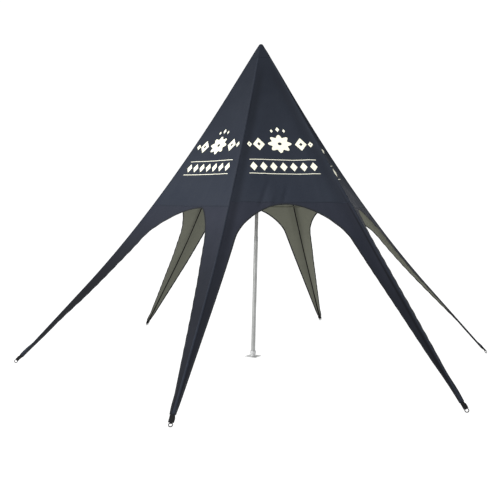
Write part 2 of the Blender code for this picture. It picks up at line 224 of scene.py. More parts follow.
# Relief of the stretched cloth, in metres: the sag of a panel, the shallow valley beside
# each ridge, the puckers of the seams and hems, and the long soft folds. Four heights are
# those of between: low, rise, high and fall.
relief = {
    "sag": 0.030,
    "sagHeights": (0.1, 0.8, 5.1, 1.2),
    "deepSags": (0.0, 0.085, 0.0, 0.0, 0.0, 0.0),
    "deepFrom": 2.55,
    "deepRise": 0.6,
    "valleyDepths": (0.014, 0.009, 0.014, 0.009, 0.014, 0.009),
    "valleyPlace": 0.115,
    "valleyWidth": 0.085,
    "valleyHeights": (1.1, 0.9, 5.0, 1.4),
    "seamPucker": 0.0011,
    "seamPuckerStep": 0.062,
    "seamReach": 0.030,
    "hemPucker": 0.0026,
    "hemPuckerStep": 0.135,
    "hemReach": 0.070,
    "hemBelowCrown": 0.05,
    "unevenness": 0.0045,
    "unevenHeights": (0.4, 1.5, 5.0, 1.0),
    "foldsPerRidge": 5,
    "foldDepth": 0.0065,
    "foldLimits": ((0.10, 0.75), (-0.16, 0.10), (1.5, 2.9), (3.0, 4.2), (0.022, 0.050),
                   (-1.0, 0.7)),  # of what each long fold below is drawn from
    "ridgeWidth": 0.02,  # nothing stands out within this of a ridge
    "seed": 4,
}

# folds that show over the front arch: place from the left ridge, lean, lowest and highest
# point, width and depth
placedFolds = {
    0: ((0.46, 0.14, 2.62, 3.02, 0.030, -0.016),
        (0.78, 0.10, 2.64, 2.98, 0.026, -0.015),
        (0.60, 0.06, 2.60, 2.90, 0.036, 0.010)),
}

# long folds beside each ridge: place across, lean, lowest and highest point, width and depth
foldDraws = np.random.default_rng(relief["seed"])
longFolds = {}
for sector in legs:
    for end in (1, -1):
        longFolds[sector, end] = np.column_stack([
            foldDraws.uniform(*limits, relief["foldsPerRidge"]) for limits in relief["foldLimits"]])
phases = foldDraws.uniform(0, 2 * math.pi, (6, 8))


def besideRidge(sector, end, near, length, z):
    # a valley with the section of a bell, the seam's puckers, which are a sine that dies away
    # from the seam, and the long folds, bells too, that lean and widen with height
    valley = bell(near - relief["valleyPlace"], relief["valleyWidth"])
    depth = -relief["valleyDepths"][sector] * valley * between(z, *relief["valleyHeights"])
    phase = phases[sector if end > 0 else nextLeg(sector), 0]
    pucker = np.sin(2 * math.pi * z / relief["seamPuckerStep"] + phase)
    fading = np.exp(-near / relief["seamReach"]) * smoothStep(near / relief["ridgeWidth"])
    depth = depth + relief["seamPucker"] * pucker * fading
    for place, slope, low, high, wide, deep in longFolds[sector, end]:
        line = near - place * length / 2 - slope * (z - low)
        fold = deep * bell(line, wide * (0.6 + 0.4 * z / 2.5))
        depth = depth + relief["foldDepth"] * fold * between(z, low, 0.7, high, 0.9)
    return depth


def reliefAt(leg, side, z, width):
    # how far the cloth stands out from the ruled surface: a parabola of sag, what lies beside
    # the two ridges, the placed folds, crossed sine waves and the hem's puckers
    sector = archOf(leg, side)
    length = chordLength(leg, side, z)
    ends = {end: width if end == side else length - width for end in (1, -1)}
    share = width / length
    deep = smoothStep((z - relief["deepFrom"]) / relief["deepRise"])
    sag = relief["sag"] + relief["deepSags"][sector] * deep
    depth = -sag * 4 * share * (1 - share) * between(z, *relief["sagHeights"])
    for end, near in ends.items():
        depth = depth + besideRidge(sector, end, near, length, z)
    for place, slope, low, high, wide, deep in placedFolds.get(sector, ()):
        fold = deep * bell(ends[1] - place - slope * (z - low), wide)
        depth = depth + fold * between(z, low - 0.1, 0.15, high, 0.2)
    waves = sum(np.sin(k * 3.1 * ends[1] + phases[sector, k] + 1.7 * z)
                * np.sin(k * 2.3 * z + phases[sector, k + 3]) / k for k in (1, 2, 3, 4))
    depth = depth + relief["unevenness"] * waves * between(z, *relief["unevenHeights"])
    away = np.maximum(flapWidth(leg, side, z) - width, 0)
    pucker = np.sin(2 * math.pi * z / relief["hemPuckerStep"] + phases[leg, 5] + side)
    crown = tent["crowns"][sector] - relief["hemBelowCrown"]
    nearHem = np.exp(-away / relief["hemReach"]) * between(z, 0.4, 0.5, crown, 0.2)
    depth = depth + relief["hemPucker"] * pucker * nearHem
    for near in ends.values():
        depth = depth * (1 - bell(near, relief["ridgeWidth"]))
    return depth


def surfaceNormal(leg, side, z, width):
    # the cross product of a small step across and a small step up
    step = 0.002
    upward = flatPoint(leg, side, z + step, width) - flatPoint(leg, side, z - step, width)
    outward = flatPoint(leg, side, z, width + step) - flatPoint(leg, side, z, width - step)
    return unit(np.cross(outward, upward) * side)


def leaned(points):
    # moved sideways in proportion to the height
    points = np.array(points, float)
    points[..., 0] += tent["lean"] * points[..., 2]
    return points


def clothPoint(leg, side, z, width, lift=0.0):
    # the ruled surface, pushed along its normal by the relief and by lift, and leaned
    z, width = np.broadcast_arrays(np.asarray(z, float), np.asarray(width, float))
    out = (reliefAt(leg, side, z, width) + lift)[..., None]
    return leaned(flatPoint(leg, side, z, width) + surfaceNormal(leg, side, z, width) * out)


def gridFaces(rows, columns, wrap, loop):
    # each point is joined to the next column and the next row
    index = np.arange(rows * columns).reshape(rows, columns)
    row = np.arange(rows if loop else rows - 1)
    column = np.arange(columns if wrap else columns - 1)
    here, after = index[row], index[(row + 1) % rows]
    beside = (column + 1) % columns
    corners = here[:, column], here[:, beside], after[:, beside], after[:, column]
    return np.stack(corners, -1).reshape(-1, 4)


def gridUvs(points, wrap, loop):
    # metres along the columns and along the rows, measured on the surface
    closedAcross = np.concatenate((points, points[:, :1]), 1) if wrap else points
    closedAlong = np.concatenate((points, points[:1]), 0) if loop else points
    across = np.linalg.norm(np.diff(closedAcross, axis=1), axis=-1).mean(0)
    along = np.linalg.norm(np.diff(closedAlong, axis=0), axis=-1).mean(1)
    u, v = (np.concatenate(((0,), np.cumsum(steps))) for steps in (across, along))
    row, column = np.meshgrid(np.arange(len(v) - 1), np.arange(len(u) - 1), indexing="ij")
    corners = [np.stack((u[column + right], v[row + up]), -1)
               for right, up in ((0, 0), (1, 0), (1, 1), (0, 1))]
    return np.stack(corners, -2).reshape(-1, 2)


def newObject(name, data):
    thing = bpy.data.objects.new(name, data)
    bpy.context.scene.collection.objects.link(thing)
    return thing


def faceOutwards(shape):
    bmesh.ops.recalc_face_normals(shape, faces=shape.faces)


def joinDoubles(shape):
    bmesh.ops.remove_doubles(shape, verts=shape.verts, dist=0.00002)


def newPiece(name, places, faces, corners, finish, repair=None):
    # a mesh with its map, on the part's one body; faces past the map's corners get none
    mesh = bpy.data.meshes.new(name)
    mesh.from_pydata(places.tolist(), [], faces)
    uvs = np.zeros((len(mesh.loops), 2), np.float32)
    uvs[:len(corners)] = corners
    mesh.uv_layers.new(name="surface").data.foreach_set("uv", uvs.ravel())
    if repair:
        shape = bmesh.new()
        shape.from_mesh(mesh)
        repair(shape)
        shape.to_mesh(mesh)
        shape.free()
    mesh.materials.append(finish)
    piece = newObject(name, mesh)
    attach(piece, "root")
    return piece


def gridPiece(name, points, finish, wrap=False, loop=False, caps=False, poles=(), closed=True):
    # a surface over a grid of points; caps close a tube's ends, poles close a round one's
    rows, columns = points.shape[:2]
    faces = gridFaces(rows, columns, wrap, loop).tolist()
    places = points.reshape(-1, 3)
    if caps:
        faces += [list(range(columns))[::-1], list(range((rows - 1) * columns, rows * columns))]
    for row, pole in poles:
        start, top = (row % rows) * columns, len(places)
        places = np.concatenate((places, np.asarray(pole, float)[None]))
        faces += [[start + c, start + (c + 1) % columns, top] for c in range(columns)]
    corners = gridUvs(points, wrap, loop)
    piece = newPiece(name, places, faces, corners, finish, faceOutwards if closed else None)
    piece.data.shade_smooth()
    return piece


def declared(piece, slot, *nodes):
    # hides the solids that a piece stands for; slot is not used
    if nodes:
        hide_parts(*nodes)
    return piece


def tubePiece(name, label, points, finish, slot, *nodes, loop=False):
    # a closed section carried along a path, capped at its ends or joined into a loop; the
    # label follows its own name and those of its solids
    piece = gridPiece(name + label, points, finish, wrap=True, loop=loop, caps=not loop)
    return declared(piece, slot, *[node + label for node in nodes])


def thicken(piece, thickness, inside=0):
    # the sheet's open edges are kept sharp, so that its faces are not shaded round them
    mesh = piece.data
    edges = np.zeros(len(mesh.loops), np.int32)
    mesh.loops.foreach_get("edge_index", edges)
    border = np.bincount(edges, minlength=len(mesh.edges)) == 1
    sharp = mesh.attributes.get("sharp_edge")
    sharp = sharp or mesh.attributes.new("sharp_edge", "BOOLEAN", "EDGE")
    sharp.data.foreach_set("value", border)
    solid = piece.modifiers.new("thickness", "SOLIDIFY")
    solid.thickness = thickness
    solid.offset = -1.0
    solid.use_even_offset = False
    solid.material_offset = inside


def sharpen(piece, degrees):
    piece.data.set_sharp_from_angle(angle=math.radians(degrees))


# Finishes. A pattern that follows the cloth reads the piece's own map, in metres.
def feed(node, inputs):
    # links other nodes' outputs and sets plain values; a node's id_data is its tree
    for name, value in inputs.items():
        socket = node.inputs[name]
        if isinstance(value, bpy.types.NodeSocket):
            node.id_data.links.new(value, socket)
        elif value is not None:
            socket.default_value = (*value, 1.0) if socket.type == "RGBA" else value
    return node


def newFinish(name, colour, roughness, **more):
    finish = bpy.data.materials.new(name)
    finish.use_nodes = True
    shader = finish.node_tree.nodes["Principled BSDF"]
    feed(shader, {"Base Color": colour, "Roughness": roughness, **more})
    return finish, finish.node_tree, shader


def addNode(tree, kind, inputs=(), **settings):
    node = tree.nodes.new("ShaderNode" + kind)
    for setting, value in settings.items():
        setattr(node, setting, value)
    return feed(node, dict(inputs))


def scaledMap(place, scale):
    return addNode(place.id_data, "Mapping", {"Vector": place, "Scale": scale}).outputs["Vector"]


def surfaceMap(tree, scale=(1, 1, 1)):
    return scaledMap(addNode(tree, "UVMap", uv_map="surface").outputs["UV"], scale)


def objectMap(tree, scale=(1, 1, 1)):
    return scaledMap(addNode(tree, "TexCoord").outputs["Object"], scale)


def axes(place):
    return addNode(place.id_data, "SeparateXYZ", {"Vector": place}).outputs


def noise(place, scale, detail=4.0, roughness=0.55):
    inputs = {"Vector": place, "Scale": scale, "Detail": detail, "Roughness": roughness}
    return addNode(place.id_data, "TexNoise", inputs).outputs["Fac"]


def clouds(tree, *values):
    return noise(objectMap(tree), *values)


def ranged(value, toLow, toHigh, low=0.3, high=0.7):
    # carries low to high over to toLow to toHigh; most of a noise lies between 0.3 and 0.7
    inputs = {"Value": value, "From Min": low, "From Max": high, "To Min": toLow, "To Max": toHigh}
    return addNode(value.id_data, "MapRange", inputs).outputs["Result"]


def calc(operation, first, second=None):
    return addNode(first.id_data, "Math", {0: first, 1: second}, operation=operation).outputs[0]


def mixed(factor, first, second):
    # inputs 6 and 7 and output 2 of this node are its colours
    inputs = {"Factor": factor, 6: first, 7: second}
    return addNode(factor.id_data, "Mix", inputs, data_type="RGBA").outputs[2]


def bumped(height, strength, distance, onto=None):
    inputs = {"Strength": strength, "Distance": distance, "Height": height, "Normal": onto}
    return addNode(height.id_data, "Bump", inputs).outputs["Normal"]


def connect(shader, colour, normal, roughness=None):
    feed(shader, {"Base Color": colour, "Normal": normal, "Roughness": roughness})


def shaded(colour, factor):
    return tuple(factor * c for c in colour)


def wave(value, pitch):
    # the sine of a full turn for every pitch
    return calc("SINE", calc("MULTIPLY", value, 2 * math.pi / pitch))


def weave(tree):
    # plain weave: the product of two sine waves, one along the warp and one along the weft
    place = axes(surfaceMap(tree))
    warp, weft = (wave(place[axis], cloth["thread"]) for axis in "XY")
    return calc("MULTIPLY", warp, weft)


def stitchMask(place, lines):
    # 1 on the stitches of sewn lines that run along the map's second direction
    on = 0.0
    for line in lines:
        off = calc("ABSOLUTE", calc("SUBTRACT", place["X"], line))
        hit = calc("LESS_THAN", off, webbing["stitchHalf"])
        on = calc("MAXIMUM", hit, on)
    step = calc("FRACT", calc("DIVIDE", place["Y"], webbing["pitch"]))
    sewn = calc("LESS_THAN", step, webbing["stitchShare"])
    return calc("MULTIPLY", on, sewn)


# Cloth: colours, and how far each effect goes. Shades are shares of the darker colour.
cloth = {
    "roof": (0.0124, 0.0154, 0.0226),
    "roofFaded": (0.0167, 0.0198, 0.0275),
    "leg": (0.0130, 0.0153, 0.0220),
    "legFaded": (0.0162, 0.0181, 0.0258),
    # the near-black that painted shade turns the cloth to towards its foot; insideFoot is the same
    # inside
    "foot": (0.0035, 0.0037, 0.0042),
    "inside": (0.152, 0.155, 0.122),
    "insideShaded": (0.131, 0.134, 0.107),
    "insideFoot": (0.090, 0.092, 0.075),
    "thread": 0.0011,
    "roughness": 0.68,
    "roughnessSpread": 0.07,
    "shine": {"Specular IOR Level": 0.05},
    "slubShare": 0.22,
    # shares of painted shade: towards the peak, the foot, the ground, and beside the ridges
    "topShade": 0.6,
    "legShade": 0.55,
    "groundShade": 0.25,
    "paintedShadeTone": 0.175,
    "crumpleDepth": 0.012,
    "creaseDepth": 0.0025,
    "weaveDepth": 0.00022,
}


def clothFinish(name, colour, fadedColour, lowerShadeColour):
    # broad fading; painted shade, paler towards the arches than at the peak and darker towards
    # the foot; fine slubs; the painted shade strips beside ridges; crumples and the weave
    finish, tree, shader = newFinish(name, colour, cloth["roughness"], **cloth["shine"])
    fading = ranged(clouds(tree, 0.85, 5.0), 0.0, 1.0, 0.32, 0.68)
    tone = mixed(fading, colour, fadedColour)
    threads = noise(surfaceMap(tree, (1, 0.12, 1)), 260.0, 2.0)
    slubs = ranged(threads, 0.0, cloth["slubShare"])
    tone = mixed(slubs, tone, shaded(fadedColour, 1.5))
    wobble = ranged(clouds(tree, 5.0), -0.12, 0.12)
    height = calc("ADD", axes(objectMap(tree))["Z"], wobble)
    # painted shade: darker towards the peak, and towards the foot and the ground
    top = ranged(height, 0.0, cloth["topShade"], 2.9, 4.6)
    tone = mixed(top, tone, shaded(colour, 0.5))
    leg = ranged(height, cloth["legShade"], 0.0, 1.2, 2.4)
    ground = ranged(height, cloth["groundShade"], 0.0, 0.1, 0.9)
    tone = mixed(calc("ADD", leg, ground), tone, lowerShadeColour)
    # painted shade strips, crease line and lower legs, read from the cloth's points
    paintedShade = addNode(tree, "Attribute", attribute_name="paintedShade").outputs["Fac"]
    paintedShadeColour = tuple(cloth["paintedShadeTone"] * (c + min(colour)) for c in colour)
    spread = cloth["roughnessSpread"]
    gloss = ranged(clouds(tree, 3.0, 3.0),
                   cloth["roughness"] - spread, cloth["roughness"] + spread)
    crumples = clouds(tree, 6.5, 6.0, 0.6)
    creases = noise(objectMap(tree, (1, 1, 0.35)), 22.0)
    rough = bumped(crumples, 0.35, cloth["crumpleDepth"])
    rough = bumped(creases, 0.25, cloth["creaseDepth"], rough)
    rough = bumped(weave(tree), 0.35, cloth["weaveDepth"], rough)
    connect(shader, mixed(paintedShade, tone, paintedShadeColour), rough, gloss)
    return finish


webbing = {
    "colour": (0.0052, 0.0052, 0.0056),
    "bindingColour": (0.0100, 0.0112, 0.0135),
    "seamColour": (0.0108, 0.0134, 0.0198),
    "insideColour": (0.085, 0.087, 0.064),
    "thread": (0.022, 0.023, 0.026),
    "lightThread": (0.026, 0.030, 0.040),
    "roughness": 0.78,
    "shine": {"Specular IOR Level": 0.09},
    "rib": 0.0026,
    "ribDepth": 0.0003,
    "pitch": 0.0046,
    "stitchHalf": 0.0006,
    "stitchShare": 0.68,
    "stitchDepth": 0.0006,
}


def webbingFinish(name, colour, stitchLines, threadColour=webbing["thread"]):
    # ribs across the tape, rubbed high spots, and rows of stitches along it
    finish, tree, shader = newFinish(name, colour, webbing["roughness"], **webbing["shine"])
    place = axes(surfaceMap(tree))
    ribs = wave(place["Y"], webbing["rib"])
    cords = wave(place["X"], 2 * webbing["rib"])
    rubbed = ranged(clouds(tree, 14.0, 5.0), 0.0, 0.8, 0.45, 0.75)
    tone = mixed(rubbed, colour, shaded(colour, 1.35))
    stitches = stitchMask(place, stitchLines)
    ribbed = bumped(calc("ADD", ribs, cords), 0.45, webbing["ribDepth"])
    sewn = bumped(stitches, 0.6, webbing["stitchDepth"], ribbed)
    connect(shader, mixed(stitches, tone, threadColour), sewn)
    return finish


metals = {
    "ring": (0.030, 0.030, 0.030),
    "lowerTube": (0.35, 0.355, 0.35),
    # the upper tube is darker than the lower one: painted shade
    "upperTube": (0.31, 0.31, 0.305),
    "plate": (0.46, 0.465, 0.465),
    "spread": 0.12,
}


def metalFinish(name, colour, roughness, grain):
    # fine scratches in one direction, with cloudy dull patches
    finish, tree, shader = newFinish(name, colour, roughness, Metallic=1.0)
    scratches = noise(objectMap(tree, grain), 90.0, 4.0, 0.6)
    dulled = clouds(tree, 9.0)
    half = metals["spread"] / 2
    dull = calc("ADD", ranged(scratches, -half, half),
                      ranged(dulled, roughness - half, roughness + metals["spread"]))
    tone = mixed(ranged(dulled, 0.0, 1.0, 0.35), colour, shaded(colour, 0.78))
    connect(shader, tone, bumped(scratches, 0.12, 0.0006), dull)
    return finish


def galvanisedFinish(name, colour):
    # spangled zinc: cells of slightly different grey and gloss
    finish, tree, shader = newFinish(name, colour, 0.5, Metallic=0.75)
    spangles = {"Scale": 85.0, "Vector": objectMap(tree)}
    cells = addNode(tree, "TexVoronoi", spangles).outputs["Color"]
    shade = addNode(tree, "SeparateColor", {"Color": cells}).outputs
    tone = mixed(shade["Red"], shaded(colour, 0.8), shaded(colour, 1.15))
    grain = bumped(clouds(tree, 140.0), 0.2, 0.0008)
    connect(shader, tone, grain, ranged(shade["Green"], 0.38, 0.6, 0, 1))
    return finish


navyRoof = clothFinish("navyRoofCloth", cloth["roof"], cloth["roofFaded"], cloth["foot"])
navyLeg = clothFinish("navyLegCloth", cloth["leg"], cloth["legFaded"], cloth["foot"])
coating = cloth["inside"], cloth["insideShaded"], cloth["insideFoot"]
oliveRoof = clothFinish("oliveRoofCoating", *coating)
oliveLeg = clothFinish("oliveLegCoating", *coating)
edges = (0.004, 0.030)
seamFinish = webbingFinish("seamTape", webbing["seamColour"], edges, webbing["lightThread"])
tapeFinish = webbingFinish("oliveTape", webbing["insideColour"], (0.003, 0.015))
bindingFinish = webbingFinish("hemBinding", webbing["bindingColour"], (0.006, 0.047))
strapFinish = webbingFinish("blackWebbing", webbing["colour"], edges)
ringFinish = metalFinish("ringSteel", metals["ring"], 0.22, (1, 1, 1))
lowerFinish = metalFinish("lowerAluminium", metals["lowerTube"], 0.42, (1, 1, 0.02))
# the upper tube's darker colour is painted shade
upperFinish = metalFinish("shadedUpperAluminium", metals["upperTube"], 0.40, (1, 1, 0.02))
plateFinish = galvanisedFinish("galvanised", metals["plate"])
print("finishes made")

# Leg cloths: one gore for each leg, from the peak down both sides of its ridge to the foot.
gore = {
    "upperRows": 74,
    "archRows": 34,
    "legRows": 66,
    "rowGap": 0.0012,
    "sideColumns": 38,
    "crowding": 1.3,
    "thickness": 0.0016,
    "seamAboveCrown": 0.025,
    # painted shade: a darker strip beside the ridges of the listed panels, and a dark crease line
    "bandSectors": (0, 2, 4),
    "bandPlace": 0.085,
    "bandWidth": 0.070,
    "bandShade": 0.30,
    "bandHeights": (1.5, 0.9, 5.0, 0.5),
    "legShades": {2: (0.9, 0.9), 5: (2.8, 1.0)},  # height and depth of the painted shade on a leg's lower part
    "creaseShades": {1: 0.85},
    "creasePlace": 0.046,
    "creaseWidth": 0.015,
    "creaseHeights": (0.2, 0.4, 3.4, 1.2),
}


def seamHeight(sector):
    # the leg cloths are joined to the roof a little above each arch
    return tent["crowns"][sector] + gore["seamAboveCrown"]


def goreHeights():
    # even rows above and below, and rows that crowd together at the crowns; alike on every
    # gore, so that two gores meet point on point down the middle of a panel
    crowns = sorted(set(tent["crowns"]))
    seams = [crown + gore["seamAboveCrown"] for crown in crowns]
    turns = np.linspace(0, math.pi / 2, gore["archRows"])
    rows = [crown - tent["archRise"] * (1 - np.cos(turns)) for crown in crowns]
    rows.append(seams)
    rows.append(np.linspace(tent["rim"], seams[-1] + gore["seamAboveCrown"], gore["upperRows"]))
    rows.append(np.linspace(crowns[0] - tent["archRise"], tent["clothEnd"], gore["legRows"]))
    heights = np.unique(np.round(np.concatenate(rows), 5))[::-1]
    near = np.min(np.abs(heights[:, None] - np.array(crowns + seams)), axis=1)
    gap = np.concatenate(((1.0,), -np.diff(heights)))
    return heights[(near < 0.00002) | ((near > gore["rowGap"]) & (gap > gore["rowGap"]))]


def sideShares():
    # shares of the width from the ridge to the edge, closer together beside the ridge
    return np.linspace(0, 1, gore["sideColumns"] + 1)[None, 1:] ** gore["crowding"]


def bandShades(leg, heights):
    # painted shade: a darker strip beside a ridge on every other panel, a dark crease line
    # beside one leg's ridge, and a darker lower part of the legs listed in legShades
    z = heights[:, None]
    top, most = gore["legShades"].get(leg, (1.0, 0.0))
    # painted shade on the lower part of the listed legs
    low = smoothStep(1.4 * (top - z) / top) * most
    crease = gore["creaseShades"].get(leg, 0.0) * between(z, *gore["creaseHeights"])
    sides = []
    for side in (-1, 1):
        near = sideShares() * flapWidth(leg, side, z)
        # a painted shade strip beside the ridge, on the listed panels only
        ridgeShade = gore["bandShade"] * (archOf(leg, side) in gore["bandSectors"])
        strip = bell(near - gore["bandPlace"], gore["bandWidth"]) * between(z, *gore["bandHeights"])
        # a painted dark crease line beside the ridge
        line = bell(near - gore["creasePlace"], gore["creaseWidth"]) * crease * (side < 0)
        sides.append(np.maximum(strip * ridgeShade + low, line))
    return np.concatenate((sides[0][:, ::-1], low, sides[1]), 1)


def legCloth(leg):
    # the left side's columns, the ridge and the right side's, with the leg's own finish below
    # the seams; the area is the sum of each row's length times the step down the ridge
    heights = goreHeights()
    z = heights[:, None]
    left, right = (clothPoint(leg, side, z, sideShares() * flapWidth(leg, side, z))
                   for side in (-1, 1))
    crest = leaned(ridgePoint(leg, heights))[:, None]
    points = np.concatenate((left[:, ::-1], crest, right), 1)
    piece = gridPiece(f"legCloth_{leg + 1}", points, navyRoof, closed=False)
    for finish in (oliveRoof, navyLeg, oliveLeg):
        piece.data.materials.append(finish)
    mesh, middles = piece.data, (heights[:-1] + heights[1:]) / 2
    below = [middles < seamHeight(archOf(leg, side)) for side in (-1, 1)]
    slots = np.repeat(np.stack(below, 1), gore["sideColumns"], axis=1) * 2
    mesh.polygons.foreach_set("material_index", slots.ravel().astype(np.int32))
    # painted shade, held on every point for the cloth finishes to read
    paintedShade = mesh.attributes.new("paintedShade", "FLOAT", "POINT")
    paintedShade.data.foreach_set("value", bandShades(leg, heights).ravel().astype(np.float32))
    outwards = Vector(bearing(leg))
    if np.mean([face.normal.dot(outwards) for face in mesh.polygons]) < 0:
        mesh.flip_normals()
    thicken(piece, gore["thickness"], inside=1)
    declared(piece, "navy_cloth", f"leg_{leg + 1}_left_flap", f"leg_{leg + 1}_right_flap",
             f"roof_panel_{pairName(archOf(leg, -1))}", f"roof_panel_{pairName(leg)}")
    layer = np.linalg.norm(np.diff(points, axis=1), axis=-1).sum(1)
    down = np.linalg.norm(np.diff(points[:, gore["sideColumns"]], axis=0), axis=-1)
    area = float(((layer[1:] + layer[:-1]) / 2 * down).sum())
    return piece, (float(layer.max()), float(down.sum())), area


gores = [legCloth(leg) for leg in legs]
print("leg cloths:", [(round(w, 2), round(l, 2), round(a, 2)) for _, (w, l), a in gores])

# Ridge seams outside and webbing inside: a thin profile carried down both slopes of a ridge.
ridge = {
    "rows": 190,
    "top": 5.00,
    "seamHalf": 0.017,
    "seamHeight": 0.0017,
    "seamEnd": 0.125,
    "strapHalf": 0.016,
    "strapFootHalf": 0.0200,
    "strapDepth": 0.0030,
    "strapEnd": 0.062,
    "levelSeam": (0.0075, 0.0010),  # half width, and height above the cloth
    "levelTape": (0.0090, -0.0012),
    "levelColumns": 46,
}


def overRidge(leg, z, reach, lift):
    # points at signed distances from the ridge, each lifted off its own side's cloth
    left, right = (clothPoint(leg, side, z, np.abs(reach), lift) for side in (-1, 1))
    return np.where((reach > 0)[..., None], right, left)


def ridgeSeam(leg):
    # a flat roof-shaped section, thinner at the top end
    heights = np.linspace(ridge["top"], ridge["seamEnd"], ridge["rows"])[:, None]
    half, high = ridge["seamHalf"], ridge["seamHeight"]
    reach = np.array((-half, -half + 0.001, -0.011, -0.005, -0.0004, 0.0004, 0.005, 0.011,
                      half - 0.001, half, half - 0.002, 0.002, -0.002, -half + 0.002))
    lift = np.array((0.0002, high, high, 1.1 * high, 1.3 * high, 1.3 * high, 1.1 * high, high,
                     high, 0.0002, -0.0006, -0.0006, -0.0006, -0.0006))
    ends = smoothStep((ridge["top"] - heights) / 0.02) * 0.9 + 0.1
    points = overRidge(leg, heights, reach, lift * ends)
    tubePiece("ridgeSeam", f"_{leg + 1}", points, seamFinish, "navy_cloth")


def ridgeWebbing(leg):
    # a flat section under the cloth, wider towards the foot
    heights = np.linspace(ridge["top"] - 0.02, ridge["strapEnd"] + 0.004, ridge["rows"])[:, None]
    widen = smoothStep((0.75 - heights) / 0.55)
    half = ridge["strapHalf"] + (ridge["strapFootHalf"] - ridge["strapHalf"]) * widen
    face, back = -gore["thickness"] - 0.0003, -gore["thickness"] - ridge["strapDepth"]
    middle = (face + back) / 2
    shares = np.array((-1.0, -0.97, -0.55, -0.16, 0.16, 0.55, 0.97, 1.0,
                       0.97, 0.55, 0.25, -0.25, -0.55, -0.97))
    lift = np.array((middle, *[face] * 6, middle, *[back] * 6))
    points = overRidge(leg, heights, shares * half, lift)
    tubePiece("ridgeWebbing", f"_{leg + 1}", points, strapFinish, "black_webbing", "ridge_strap")


def levelSeam(name, leg, finish):
    # a flat profile carried round a leg from edge to edge, level on each side of the ridge,
    # on the cloth's outside or, where the height is negative, on its inside
    half, high = ridge[name]
    rise = np.array((-half, -half + 0.0015, 0.0, half - 0.0015, half, half - 0.002, -half + 0.002))
    lift = np.array((0.0001, abs(high), 1.1 * abs(high), abs(high), 0.0001, -0.0004, -0.0004))
    if high < 0:
        lift = -gore["thickness"] - lift
    share = np.linspace(0.02, 1, ridge["levelColumns"])
    share = np.concatenate((-share[::-1], share))[:, None]
    left, right = (seamHeight(archOf(leg, side)) for side in (-1, 1))
    z = np.where(share > 0, right, left) + rise
    ends = np.where(share > 0, flapWidth(leg, 1, z), flapWidth(leg, -1, z)) - 0.0004
    points = overRidge(leg, z, share * ends, lift)
    tubePiece(name, f"_{leg + 1}", points, finish, "navy_cloth")


for leg in legs:
    ridgeSeam(leg)
    ridgeWebbing(leg)
    levelSeam("levelSeam", leg, seamFinish)
    levelSeam("levelTape", leg, tapeFinish)
print("ridges and level seams sewn")

# Arch bindings: a folded tape round the cloth's edge, from one foot over the crown to the next.
binding = {
    "archRows": 60,
    "legRows": 110,
    "inward": 0.014,
    "outward": 0.0095,
    "cover": 0.0011,
}


def archEdge(leg, side, z):
    # the cloth's edge, and the leaned direction square to the cloth there
    width = flapWidth(leg, side, z)
    return clothPoint(leg, side, z, width), unit(leaned(surfaceNormal(leg, side, z, width)))


def archBinding(arch):
    # a rounded flat section carried along the edge, square to the edge and to the cloth
    foot = tent["crowns"][arch] - tent["archRise"]
    turns = np.linspace(0, math.pi / 2, binding["archRows"])
    over = foot + tent["archRise"] * np.cos(turns)
    down = np.linspace(foot, tent["clothEnd"] + 0.03, binding["legRows"])[1:]
    heights = np.concatenate((over, down))
    first, firstNormal = archEdge(arch, 1, heights)
    second, secondNormal = archEdge(nextLeg(arch), -1, heights)
    path = np.concatenate((first[::-1], second[1:]))
    along = unit(np.gradient(path, axis=0))
    out = unit(np.cross(along, np.concatenate((firstNormal[::-1], secondNormal[1:]))))
    normal = unit(np.cross(out, along))
    inward, outward = binding["inward"], binding["outward"]
    centre, half = -gore["thickness"] / 2, gore["thickness"] / 2 + binding["cover"]
    reach = np.array((-inward, -inward + 0.001, -0.007, 0.0, outward - 0.003, outward - 0.0008,
                      outward, outward - 0.0008, outward - 0.003, 0.0, -0.007,
                      -inward + 0.001, -inward))
    height = np.array((0.15, 1.0, 1.0, 1.05, 1.1, 0.7, 0.0, -0.7, -1.1, -1.05, -1.0, -1.0, -0.15))
    points = path[:, None] + out[:, None] * reach[:, None] \
        + normal[:, None] * (centre + half * height)[:, None]
    tubePiece("archBinding", "_" + pairName(arch), points, bindingFinish, "dark_binding",
              "arch_hem")


for arch in legs:
    archBinding(arch)
print("arches bound")

# Feet: the sewn webbing end over the cloth's tip, a narrower loop, and a welded steel ring.
foot = {
    "patchTop": 0.114,
    "patchEven": 0.084,
    "patchEnd": 0.048,
    "patchHalves": (0.0380, 0.0330, 0.0200, 0.0390, 0.0390, 0.0280),
    "patchCover": 0.0022,
    "ringRadius": 0.0245,
    "ringWire": 0.0060,
    "loopHalf": 0.0110,
    "loopThickness": 0.0022,
    "loopTail": 0.050,
    "loopNeck": 0.0115,
    "cadClothDepth": 0.0034,
    "cadStrapDepth": 0.003,
    "cadGap": 0.0003,
    "cadTailHalf": 0.0022,
}


def footFrame(leg):
    # ring centre, and the directions down the leg, across the webbing, and square to both
    square, across = ridgeFrame(leg, 1, 0.0)
    down = unit(ridgePoint(leg, 0.0) - ridgePoint(leg, 0.1))
    depth = foot["cadClothDepth"] + 2 * foot["cadGap"] + foot["cadStrapDepth"] + foot["cadTailHalf"]
    z = foot["ringWire"] + foot["ringRadius"] * math.hypot(down[2], across[2]) + depth * square[2]
    return ridgePoint(leg, z) - square * depth, down, across, square


def placed(frame, local):
    # local coordinates along three directions from a centre
    centre, *directions = frame
    return leaned(centre + local @ np.array(directions))


def stakeRing(leg):
    # a torus, thicker at its weld
    turn, roll = wholeTurn(72)[:, None], wholeTurn(14)
    wire = foot["ringWire"] * (1 + 0.10 * bell(turn - 4.4, 0.10))
    local = around(foot["ringRadius"] + wire * np.cos(roll), turn, wire * np.sin(roll))
    tubePiece("stakeRing", f"_{leg + 1}", placed(footFrame(leg), local), ringFinish,
              "bright_steel", "foot_ring", loop=True)


